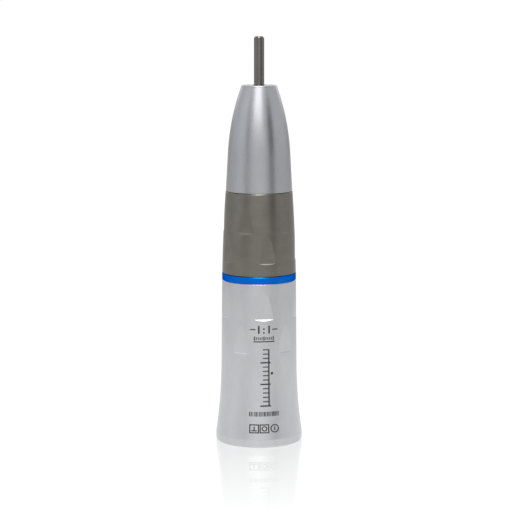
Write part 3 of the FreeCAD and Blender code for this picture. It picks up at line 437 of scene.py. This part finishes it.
class Plan:
    """Flat marks before they are wrapped: x runs to the right round the sheath from the column's
    middle line and y is the height, both in metres."""

    def __init__(self):
        self.mesh = bmesh.new()

    def bar(self, left, right, foot, top):
        self.shape([(left, foot), (right, foot), (right, top), (left, top)])

    def shape(self, corners):
        corners = [self.mesh.verts.new((x, y, 0)) for x, y in corners]
        self.mesh.faces.new(corners)

    def hoop(self, x, y, radius, width, sides=28, start=0.0, sweep=math.tau):
        """A ring, or a part of one, drawn as a run of short bars."""
        steps = max(3, round(sides * sweep / math.tau))
        angles = [start + sweep * i / steps for i in range(steps + 1)]
        inner = [(x + (radius - width) * math.cos(a), y + (radius - width) * math.sin(a)) for a in angles]
        outer = [(x + radius * math.cos(a), y + radius * math.sin(a)) for a in angles]
        for i in range(steps):
            self.shape([inner[i], outer[i], outer[i + 1], inner[i + 1]])

    def frame(self, x, y, side, width):
        """A square outline."""
        half = side / 2
        self.bar(x - half, x + half, y - half, y - half + width)
        self.bar(x - half, x + half, y + half - width, y + half)
        self.bar(x - half, x - half + width, y - half + width, y + half - width)
        self.bar(x + half - width, x + half, y - half + width, y + half - width)

    def figures(self, text, height, x, foot):
        """Figures or colons, centred on x and standing on foot."""
        curve = bpy.data.curves.new("figures", "FONT")
        curve.body = text
        curve.align_x = "CENTER"
        curve.space_character = 1.25
        curve.offset = 0.03
        curve.resolution_u = 5
        holder = bpy.data.objects.new("figures", curve)
        bpy.context.scene.collection.objects.link(holder)
        graph = bpy.context.evaluated_depsgraph_get()
        mesh = bpy.data.meshes.new_from_object(holder.evaluated_get(graph))
        tall = max(v.co.y for v in mesh.vertices)
        for v in mesh.vertices:
            v.co = Vector((v.co.x * height / tall + x, v.co.y * height / tall + foot, 0))
        self.mesh.from_mesh(mesh)
        bpy.data.objects.remove(holder)
        bpy.data.curves.remove(curve)
        bpy.data.meshes.remove(mesh)

    def add_mesh(self, mesh):
        self.mesh.from_mesh(mesh)


def bar_row_tree(name):
    """A row of upright bars: Count bars from Start, Step apart, Height tall, with every Long-th
    one Longer and widths that vary by Spread from Seed."""
    tree = bpy.data.node_groups.new(name, "GeometryNodeTree")
    face = tree.interface
    face.new_socket("Geometry", in_out="INPUT", socket_type="NodeSocketGeometry")
    face.new_socket("Geometry", in_out="OUTPUT", socket_type="NodeSocketGeometry")
    for label, kind in (
        ("Start", "NodeSocketVector"),
        ("Step", "NodeSocketVector"),
        ("Count", "NodeSocketInt"),
        ("Bar", "NodeSocketVector"),
        ("Every", "NodeSocketInt"),
        ("Longer", "NodeSocketVector"),
        ("Spread", "NodeSocketFloat"),
        ("Seed", "NodeSocketInt"),
        ("Finish", "NodeSocketMaterial"),
    ):
        face.new_socket(label, in_out="INPUT", socket_type=kind)
    nodes, links = tree.nodes, tree.links
    given = nodes.new("NodeGroupInput").outputs
    result = nodes.new("NodeGroupOutput")
    line = nodes.new("GeometryNodeMeshLine")
    links.new(given["Count"], line.inputs["Count"])
    links.new(given["Start"], line.inputs["Start Location"])
    links.new(given["Step"], line.inputs["Offset"])
    bar = nodes.new("GeometryNodeMeshGrid")
    for label, number in (("Size X", 1.0), ("Size Y", 1.0), ("Vertices X", 2), ("Vertices Y", 2)):
        bar.inputs[label].default_value = number
    index = nodes.new("GeometryNodeInputIndex")
    turn = nodes.new("ShaderNodeMath")
    turn.operation = "FLOORED_MODULO"
    links.new(index.outputs[0], turn.inputs[0])
    links.new(given["Every"], turn.inputs[1])
    first = nodes.new("FunctionNodeCompare")
    first.operation = "LESS_THAN"
    links.new(turn.outputs[0], first.inputs[0])
    first.inputs[1].default_value = 0.5
    size = nodes.new("GeometryNodeSwitch")
    size.input_type = "VECTOR"
    links.new(first.outputs[0], size.inputs["Switch"])
    links.new(given["Bar"], size.inputs["False"])
    links.new(given["Longer"], size.inputs["True"])
    low = nodes.new("ShaderNodeMath")
    low.operation = "SUBTRACT"
    low.inputs[0].default_value = 1.0
    links.new(given["Spread"], low.inputs[1])
    high = nodes.new("ShaderNodeMath")
    high.operation = "ADD"
    high.inputs[0].default_value = 1.0
    links.new(given["Spread"], high.inputs[1])
    chance = nodes.new("FunctionNodeRandomValue")
    chance.data_type = "FLOAT"
    links.new(low.outputs[0], chance.inputs[2])
    links.new(high.outputs[0], chance.inputs[3])
    links.new(given["Seed"], chance.inputs["Seed"])
    widths = nodes.new("ShaderNodeCombineXYZ")
    widths.inputs["Y"].default_value = 1.0
    widths.inputs["Z"].default_value = 1.0
    links.new(chance.outputs[1], widths.inputs["X"])
    scale = nodes.new("ShaderNodeVectorMath")
    scale.operation = "MULTIPLY"
    links.new(size.outputs[0], scale.inputs[0])
    links.new(widths.outputs[0], scale.inputs[1])
    place = nodes.new("GeometryNodeInstanceOnPoints")
    links.new(line.outputs["Mesh"], place.inputs["Points"])
    links.new(bar.outputs["Mesh"], place.inputs["Instance"])
    links.new(scale.outputs[0], place.inputs["Scale"])
    real = nodes.new("GeometryNodeRealizeInstances")
    links.new(place.outputs[0], real.inputs[0])
    finish = nodes.new("GeometryNodeSetMaterial")
    links.new(real.outputs[0], finish.inputs["Geometry"])
    links.new(given["Finish"], finish.inputs["Material"])
    links.new(finish.outputs[0], result.inputs[0])
    return tree


def bar_row(tree, material, **sizes):
    """The mesh of one row of bars from the tree."""
    holder = bpy.data.objects.new("bars", bpy.data.meshes.new("bars"))
    bpy.context.scene.collection.objects.link(holder)
    modifier = holder.modifiers.new("bars", "NODES")
    modifier.node_group = tree
    sockets = {item.name: item.identifier for item in tree.interface.items_tree if item.in_out == "INPUT"}
    for name, value in {"Every": 1, "Spread": 0.0, "Seed": 1, "Finish": material, **sizes}.items():
        modifier[sockets[name]] = value
    graph = bpy.context.evaluated_depsgraph_get()
    mesh = bpy.data.meshes.new_from_object(holder.evaluated_get(graph))
    bpy.data.objects.remove(holder)
    return mesh


class HANDPIECE_OT_marks(bpy.types.Operator):
    """Lay the laser marks on the front of the sheath"""

    bl_idname = "handpiece.marks"
    bl_label = "Laser Marks"

    # across the column, from its middle line
    dash = (1.95 * MM, 3.3 * MM)
    tick_row_half = 2.2 * MM
    underline_half = 2.45 * MM
    code_half = 3.15 * MM
    rule_left, rule_right = 0.35 * MM, 0.95 * MM
    rule_dot = (1.85 * MM, 7.5 * MM)
    sign_places = (-2.15 * MM, 0.0, 2.2 * MM)
    # width and height of bars, with 1 for the scale that a flat bar doesn't use
    tick, long_tick = (0.22 * MM, 0.62 * MM, 1), (0.28 * MM, 0.95 * MM, 1)
    code_bar = (0.21 * MM, 1.05 * MM, 1)
    tick_count = 11
    long_every = 5

    def oxide(self, base):
        """Dark oxide left by the laser: matt, and slightly patchy along its strokes."""
        n = Nodes("laser mark oxide")
        n.set(Metallic=0.35)
        patch = n.remap(n.noise((5, 5, 5), detail=3), 0.0, 1.0)
        n.link(n.mix(patch, tinted(base, 0.8), tinted(base, 1.35)), n.shader.inputs["Base Color"])
        n.link(n.remap(patch, 0.45, 0.62, 0, 1), n.shader.inputs["Roughness"])
        n.link(n.bump(n.noise((22, 22, 22)), 0.0008 * MM), n.shader.inputs["Normal"])
        return n.material

    def lay_out(self, s, material):
        plan = Plan()
        rows = bar_row_tree("row of bars")
        self.draw_ratio(plan, s)
        self.draw_ticks(plan, rows, s, material)
        self.draw_rule(plan, rows, s, material)
        self.draw_code(plan, rows, s, material)
        self.draw_signs(plan, s)
        return plan

    def draw_ratio(self, plan, s):
        """The ratio between two dashes."""
        plan.figures("1:1", s.ratio_height, 0, s.ratio_foot)
        foot = s.ratio_foot + (s.ratio_height - s.line) / 2
        near, far = self.dash
        plan.bar(-far, -near, foot, foot + s.line)
        plan.bar(near, far, foot, foot + s.line)

    def draw_ticks(self, plan, rows, s, material):
        """A row of ticks over a line."""
        half = self.tick_row_half
        ticks = bar_row(
            rows,
            material,
            Start=(-half, s.tick_foot + 0.45 * MM, 0),
            Step=(2 * half / (self.tick_count - 1), 0, 0),
            Count=self.tick_count,
            Bar=self.tick,
            Every=self.long_every,
            Longer=self.long_tick,
        )
        plan.add_mesh(ticks)
        foot = s.tick_foot - 0.42 * MM
        plan.bar(-self.underline_half, self.underline_half, foot, foot + s.line)

    def draw_rule(self, plan, rows, s, material):
        """An upright millimetre rule, with a longer mark at every fifth and a dot beside it."""
        top = s.rule_foot + (s.rule_marks - 1) * MM
        stroke = s.line * 1.3
        plan.bar(self.rule_right, self.rule_right + stroke, s.rule_foot - s.line / 2, top + s.line / 2)
        width = 2 * (self.rule_right - self.rule_left)
        ticks = bar_row(
            rows,
            material,
            Start=(self.rule_left, s.rule_foot, 0),
            Step=(0, MM, 0),
            Count=s.rule_marks,
            Bar=(width, s.line, 1),
            Every=self.long_every,
            Longer=(2 * width, stroke, 1),
        )
        plan.add_mesh(ticks)
        across, up = self.rule_dot
        plan.hoop(across, s.rule_foot + up, 0.32 * MM, 0.31 * MM, sides=20)

    def draw_code(self, plan, rows, s, material):
        """A row of bars of uneven widths that codes nothing."""
        half = self.code_half
        code = bar_row(
            rows,
            material,
            Start=(-half, s.code_foot + 0.5 * MM, 0),
            Step=(2 * half / (s.code_bars - 1), 0, 0),
            Count=s.code_bars,
            Bar=self.code_bar,
            Longer=self.code_bar,
            Spread=0.4,
            Seed=7,
        )
        plan.add_mesh(code)

    def draw_signs(self, plan, s):
        """Two square signs, one with a stand and one with a ring in it, and a round one with a stroke."""
        side, line, y = s.sign_size, s.line, s.sign_middle
        left, middle, right = self.sign_places
        foot = y - side * 0.28
        plan.frame(left, y, side, line)
        plan.bar(left - side * 0.28, left + side * 0.28, foot, foot + line)
        plan.bar(left - line / 2, left + line / 2, foot + line, y + side * 0.25)
        plan.frame(middle, y, side, line)
        plan.hoop(middle, y, side * 0.3, line)
        plan.hoop(right, y, side * 0.47, line)
        plan.bar(right - line / 2, right + line / 2, y - side * 0.2, y + side * 0.2)

    def shorten_edges(self, work):
        """Cuts long edges up, so that the marks can bend with the sheath."""
        for _ in range(6):
            long = [e for e in work.edges if e.calc_length() > 0.5 * MM]
            if not long:
                break
            bmesh.ops.subdivide_edges(work, edges=long, cuts=1, use_grid_fill=True)

    def wrap(self, plan, s):
        """Bends the flat marks round the sheath and gives them their thickness, closed all over."""
        work = plan.mesh
        bmesh.ops.remove_doubles(work, verts=work.verts, dist=0.001 * MM)
        self.shorten_edges(work)
        bmesh.ops.triangulate(work, faces=work.faces)
        bmesh.ops.recalc_face_normals(work, faces=work.faces)
        for face in work.faces:
            if face.normal.z < 0:
                face.normal_flip()
        copy = bmesh.ops.duplicate(work, geom=list(work.verts) + list(work.edges) + list(work.faces))
        front, front_of = set(copy["geom"]), copy["vert_map"]
        back_faces = [f for f in work.faces if f not in front]
        rims = [e for e in work.edges if e not in front and len(e.link_faces) == 1]
        for edge in rims:
            a, b = edge.verts
            loop = next(l for l in edge.link_faces[0].loops if l.edge == edge)
            if loop.vert != a:
                a, b = b, a
            work.faces.new((b, a, front_of[a], front_of[b]))
        for face in back_faces:
            face.normal_flip()
        surface = sheath_surface()
        for v in work.verts:
            lift = s.depth if v in front else -2 * s.depth
            v.co = on_sheath(surface, s.column, v.co.x, v.co.y, lift)
        bmesh.ops.recalc_face_normals(work, faces=work.faces)
        mesh = bpy.data.meshes.new("laser_marks")
        work.to_mesh(mesh)
        work.free()
        return mesh

    def execute(self, context):
        s = context.scene.handpiece_marks
        material = self.oxide(s.ink)
        mesh = self.wrap(self.lay_out(s, material), s)
        mesh.materials.clear()
        mesh.materials.append(material)
        marks = bpy.data.objects.new("laser_marks", mesh)
        context.scene.collection.objects.link(marks)
        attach(marks, "housing")
        return {"FINISHED"}


def sheath_surface():
    """The sheath's mesh, ready for rays."""
    work = bmesh.new()
    work.from_mesh(frame["nodes"]["rear_sheath"].data)
    tree = BVHTree.FromBMesh(work)
    work.free()
    return tree


def on_sheath(surface, column, across, height, lift):
    """The point on the sheath at this height, across metres round from the column's line."""
    turn = column + across / GRIP_RADIUS
    outward = Vector((math.sin(turn), -math.cos(turn), 0))
    start = outward * 5 * GRIP_RADIUS + Vector((0, 0, height))
    hit = surface.ray_cast(start, -outward)[0]
    if hit is None:
        raise RuntimeError(f"a mark at height {height} misses the sheath")
    radius = Vector((hit.x, hit.y)).length + lift
    return outward * radius + Vector((0, 0, height))


# ---------------------------------------------------------------- studio

MIDDLE = Vector((0, 0, 0.05))  # what the lights face
FLOOR_SIZE = 80.0
DIMMING_REACH = (0.05, 0.3)  # from the axis, where the floor's dimming starts and is full
MIRROR_START = 0.011  # just outside the rear rim


class HANDPIECE_OT_studio(bpy.types.Operator):
    """Set up the pale floor, the soft lights and the camera"""

    bl_idname = "handpiece.studio"
    bl_label = "Studio"

    def aim(self, item, azimuth, elevation, distance):
        """Puts a light or a card round the middle of the handpiece, facing it. Azimuth 0 is the front
        and 90 the right."""
        a, e = math.radians(azimuth), math.radians(elevation)
        away = Vector((math.sin(a) * math.cos(e), -math.cos(a) * math.cos(e), math.sin(e)))
        item.location = MIDDLE + away * distance
        item.rotation_euler = away.to_track_quat("Z", "Y").to_euler()
        bpy.context.scene.collection.objects.link(item)

    def soft_box(self, name, place, width, height, glow, tint=(1, 1, 1)):
        """glow is how bright its face is, where the pale floor is about 1."""
        data = bpy.data.lights.new(name, "AREA")
        data.shape = "RECTANGLE"
        data.size, data.size_y = width, height
        data.energy = glow * math.pi * width * height
        data.color = tint
        self.aim(bpy.data.objects.new(name, data), *place)

    def sheet(self, name, width, height, z=0.0):
        """An object with one flat rectangle."""
        mesh = bpy.data.meshes.new(name)
        w, h = width / 2, height / 2
        mesh.from_pydata([(-w, -h, z), (w, -h, z), (w, h, z), (-w, h, z)], [], [(0, 1, 2, 3)])
        return bpy.data.objects.new(name, mesh)

    def card(self, name, place, width, height, shade):
        """A dark card that only the metal's soft reflections see, and the floor's sharp mirror doesn't."""
        card = self.sheet(name, width, height)
        material = bpy.data.materials.new(name)
        material.use_nodes = True
        tree = material.node_tree
        tree.nodes.clear()
        glow = tree.nodes.new("ShaderNodeEmission")
        glow.inputs["Color"].default_value = (shade, shade, shade * 1.03, 1)
        seen = tree.nodes.new("ShaderNodeMixShader")
        tree.links.new(tree.nodes.new("ShaderNodeLightPath").outputs["Is Singular Ray"], seen.inputs[0])
        tree.links.new(glow.outputs[0], seen.inputs[1])
        tree.links.new(tree.nodes.new("ShaderNodeBsdfTransparent").outputs[0], seen.inputs[2])
        tree.links.new(seen.outputs[0], tree.nodes.new("ShaderNodeOutputMaterial").inputs["Surface"])
        card.data.materials.append(material)
        self.aim(card, *place)
        card.visible_camera = False
        card.visible_diffuse = False
        card.visible_shadow = False

    def floor_finish(self, s):
        """White from above and clear from below: a glow that is dimmer far off where metal reflects
        it, and a mirror that fades away from the handpiece."""
        n = Nodes("pale floor")
        n.set(Roughness=0.9, Specular_IOR_Level=0.0)
        n.shader.inputs["Base Color"].default_value = (*s.floor, 1)
        n.shader.inputs["Emission Color"].default_value = (1, 1, 1, 1)
        from_axis = n.add("ShaderNodeVectorMath", operation="LENGTH")
        n.link(n.place, from_axis.inputs[0])
        reach = from_axis.outputs["Value"]
        dimming = n.remap(reach, -s.floor_dim * 0.17, -s.floor_dim, *DIMMING_REACH)
        glow = n.add("ShaderNodeMath", operation="MULTIPLY_ADD")
        n.link(n.add("ShaderNodeLightPath").outputs["Is Glossy Ray"], glow.inputs[0])
        n.link(dimming, glow.inputs[1])
        glow.inputs[2].default_value = s.floor_glow
        n.link(glow.outputs[0], n.shader.inputs["Emission Strength"])
        mirror = n.add("ShaderNodeBsdfGlossy")
        mirror.inputs["Roughness"].default_value = 0.0
        slant = n.add("ShaderNodeMath", operation="MULTIPLY")
        n.link(n.remap(reach, s.floor_mirror, 0.0, MIRROR_START, s.mirror_reach), slant.inputs[0])
        n.link(n.add("ShaderNodeLayerWeight").outputs["Facing"], slant.inputs[1])
        mixed = n.add("ShaderNodeMixShader")
        n.link(slant.outputs[0], mixed.inputs[0])
        n.link(n.shader.outputs[0], mixed.inputs[1])
        n.link(mirror.outputs[0], mixed.inputs[2])
        one_sided = n.add("ShaderNodeMixShader")
        n.link(n.add("ShaderNodeNewGeometry").outputs["Backfacing"], one_sided.inputs[0])
        n.link(mixed.outputs[0], one_sided.inputs[1])
        n.link(n.add("ShaderNodeBsdfTransparent").outputs[0], one_sided.inputs[2])
        n.link(one_sided.outputs[0], n.tree.nodes["Material Output"].inputs["Surface"])
        return n.material

    def floor(self, s):
        floor = self.sheet("floor", FLOOR_SIZE, FLOOR_SIZE, z=CAD_BOX[0].z - 0.02 * MM)
        bpy.context.scene.collection.objects.link(floor)
        floor.data.materials.append(self.floor_finish(s))

    def camera(self, s):
        data = bpy.data.cameras.new("camera")
        data.lens = s.lens
        data.sensor_width = 36
        data.clip_start, data.clip_end = 0.01, 200
        camera = bpy.data.objects.new("camera", data)
        camera.location = (s.camera_side, -s.camera_distance, s.camera_height)
        camera.rotation_euler = (math.pi / 2 - s.camera_tilt, 0, 0)
        bpy.context.scene.collection.objects.link(camera)
        bpy.context.scene.camera = camera

    def surround(self, s):
        """An even grey light, which the camera and the floor's mirror see as white."""
        world = bpy.data.worlds.new("studio")
        world.use_nodes = True
        tree = world.node_tree
        background = tree.nodes["Background"]
        background.inputs["Color"].default_value = (0.97, 0.985, 1, 1)
        rays = tree.nodes.new("ShaderNodeLightPath")
        seen = tree.nodes.new("ShaderNodeMath")
        seen.operation = "MAXIMUM"
        tree.links.new(rays.outputs["Is Camera Ray"], seen.inputs[0])
        tree.links.new(rays.outputs["Is Singular Ray"], seen.inputs[1])
        strength = tree.nodes.new("ShaderNodeMath")
        strength.operation = "MULTIPLY_ADD"
        tree.links.new(seen.outputs[0], strength.inputs[0])
        strength.inputs[1].default_value = s.backdrop - s.surround
        strength.inputs[2].default_value = s.surround
        tree.links.new(strength.outputs[0], background.inputs["Strength"])
        bpy.context.scene.world = world

    def overhead(self, s):
        sun = bpy.data.lights.new("overhead", "SUN")
        sun.energy = s.overhead
        sun.angle = s.overhead_spread
        top = bpy.data.objects.new("overhead", sun)
        top.rotation_euler.x = s.overhead_tilt
        bpy.context.scene.collection.objects.link(top)

    def execute(self, context):
        s = context.scene.handpiece_studio
        self.camera(s)
        self.floor(s)
        self.surround(s)
        self.overhead(s)
        # each place is an azimuth and an elevation in degrees, and a distance in metres
        self.soft_box("front box", (-5, 34, 0.9), 0.56, 0.42, 1.38)
        self.soft_box("upper front box", (-12, 57, 0.9), 1.1, 0.3, 1.35)
        self.soft_box("low front box", (-2, 6, 0.95), 0.8, 0.5, 0.12)
        self.soft_box("left box", (-75, 12, 0.9), 0.5, 0.9, 0.14, tint=(0.78, 0.92, 1))
        self.soft_box("back box", (180, 17, 0.9), 1.6, 0.3, 0.6)
        self.card("right card", (46, 13, 0.7), 0.26, 0.36, 0.03)
        self.card("left card", (-43, 13, 0.7), 0.12, 0.36, 0.25)
        self.card("back card", (180, 1, 0.8), 2.4, 0.2, 0.45)
        context.scene.view_settings.view_transform = "Standard"
        return {"FINISHED"}


# ---------------------------------------------------------------- panel


class HANDPIECE_PT_panel(bpy.types.Panel):
    """Sizes, colours and the making of each group of pieces"""

    bl_label = "Handpiece"
    bl_space_type = "VIEW_3D"
    bl_region_type = "UI"
    bl_category = "Handpiece"

    def draw(self, context):
        layout = self.layout
        for operator in OPERATORS:
            layout.operator(operator.bl_idname)
        for name, group in SETTINGS.items():
            box = layout.box()
            settings = getattr(context.scene, name)
            for field in group.__annotations__:
                box.prop(settings, field)


SETTINGS = {
    "handpiece_casing": CasingSettings,
    "handpiece_works": WorksSettings,
    "handpiece_marks": MarkSettings,
    "handpiece_studio": StudioSettings,
}
OPERATORS = (
    HANDPIECE_OT_casing,
    HANDPIECE_OT_band,
    HANDPIECE_OT_shank,
    HANDPIECE_OT_works,
    HANDPIECE_OT_springs,
    HANDPIECE_OT_marks,
    HANDPIECE_OT_studio,
)


def register():
    for item in (*SETTINGS.values(), *OPERATORS, HANDPIECE_PT_panel):
        bpy.utils.register_class(item)
    for name, group in SETTINGS.items():
        setattr(bpy.types.Scene, name, PointerProperty(type=group))


def unregister():
    for name in SETTINGS:
        delattr(bpy.types.Scene, name)
    for item in (HANDPIECE_PT_panel, *reversed(OPERATORS), *reversed(tuple(SETTINGS.values()))):
        bpy.utils.unregister_class(item)


def main():
    register()
    for operator in OPERATORS:
        family, name = operator.bl_idname.split(".")
        getattr(getattr(bpy.ops, family), name)()


if __name__ == "__main__":
    main()
